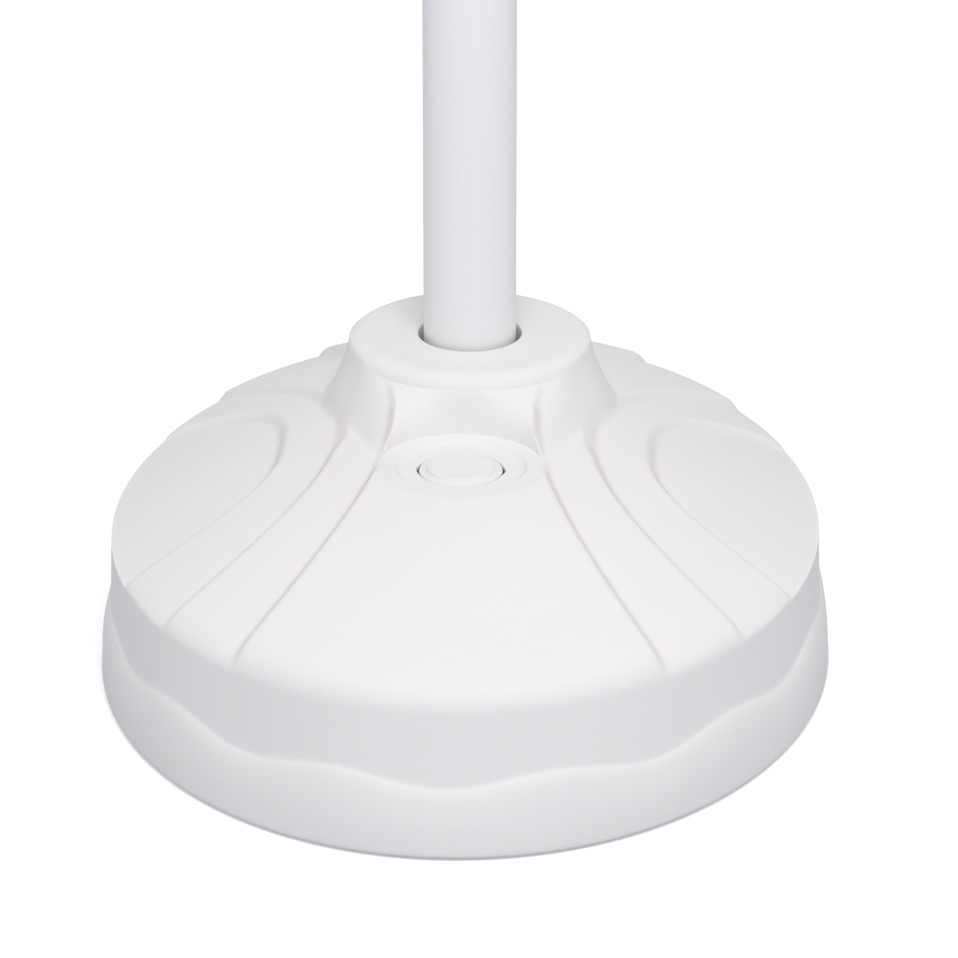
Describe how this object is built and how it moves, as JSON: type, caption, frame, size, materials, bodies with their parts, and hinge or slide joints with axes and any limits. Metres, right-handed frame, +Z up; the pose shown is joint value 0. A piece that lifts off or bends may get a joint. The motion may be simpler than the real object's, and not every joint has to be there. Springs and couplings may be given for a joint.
{
  "type": "weighted stand base with post",
  "caption": "White oval fillable stand base with wavy skirt, stepped lobes, screw filler cap and a round post in a raised hub.",
  "frame": {"origin": "on the floor, under the middle of the oval base", "axes": "+Z up along the post, -Y towards the front with the filler cap, +X to the right seen from the front"},
  "size_m": [0.38, 0.486, 0.4183],
  "materials": {
    "white_plastic": "satin moulded",
    "cap_plastic": "satin moulded",
    "white_paint": "satin powder coat",
    "dark_rubber": "matt",
    "bare_steel": "plain drawn steel",
    "dry_sand": "loose grains"
  },
  "bodies": {
    "base": {"base_shell": "white_plastic", "filler_bush": "cap_plastic", "sand_ballast": "dry_sand", "foot_pad_1": "dark_rubber", "foot_pad_2": "dark_rubber", "foot_pad_3": "dark_rubber", "foot_pad_4": "dark_rubber", "foot_pad_5": "dark_rubber", "foot_pad_6": "dark_rubber"},
    "seal": {"cap_seal": "dark_rubber"},
    "cap": {"filler_cap": "cap_plastic"},
    "boot": {"post_boot": "dark_rubber"},
    "post": {"post_tube": "white_paint", "post_spigot": "bare_steel", "button_spring": "bare_steel"},
    "button": {"snap_button": "bare_steel"}
  },
  "joints": [
    {"name": "post_lift", "type": "slide", "parent": "base", "child": "boot", "axis": [0, 0, 1], "range_m": [0, 0.16]},
    {"name": "post_turn", "type": "hinge", "parent": "boot", "child": "post", "pos_m": [0, 0.0504, 0.0163], "axis": [0, 0, 1], "continuous": true},
    {"name": "cap_rise", "type": "slide", "parent": "base", "child": "seal", "axis": [0, 0, 1], "range_m": [0, 0.0141]},
    {"name": "cap_turn", "type": "hinge", "parent": "seal", "child": "cap", "pos_m": [0, -0.056, 0.126], "axis": [0, 0, 1], "range_deg": [0, 1260]},
    {"name": "button_press", "type": "slide", "parent": "post", "child": "button", "axis": [0, 1, 0], "range_m": [0, 0.004], "stiffness_N_per_m": 1200, "deforming": ["button_spring"]}
  ],
  "couplings": [
    {"joint": "cap_rise", "follows": "cap_turn", "m_per_rad": 0.00063662}
  ]
}
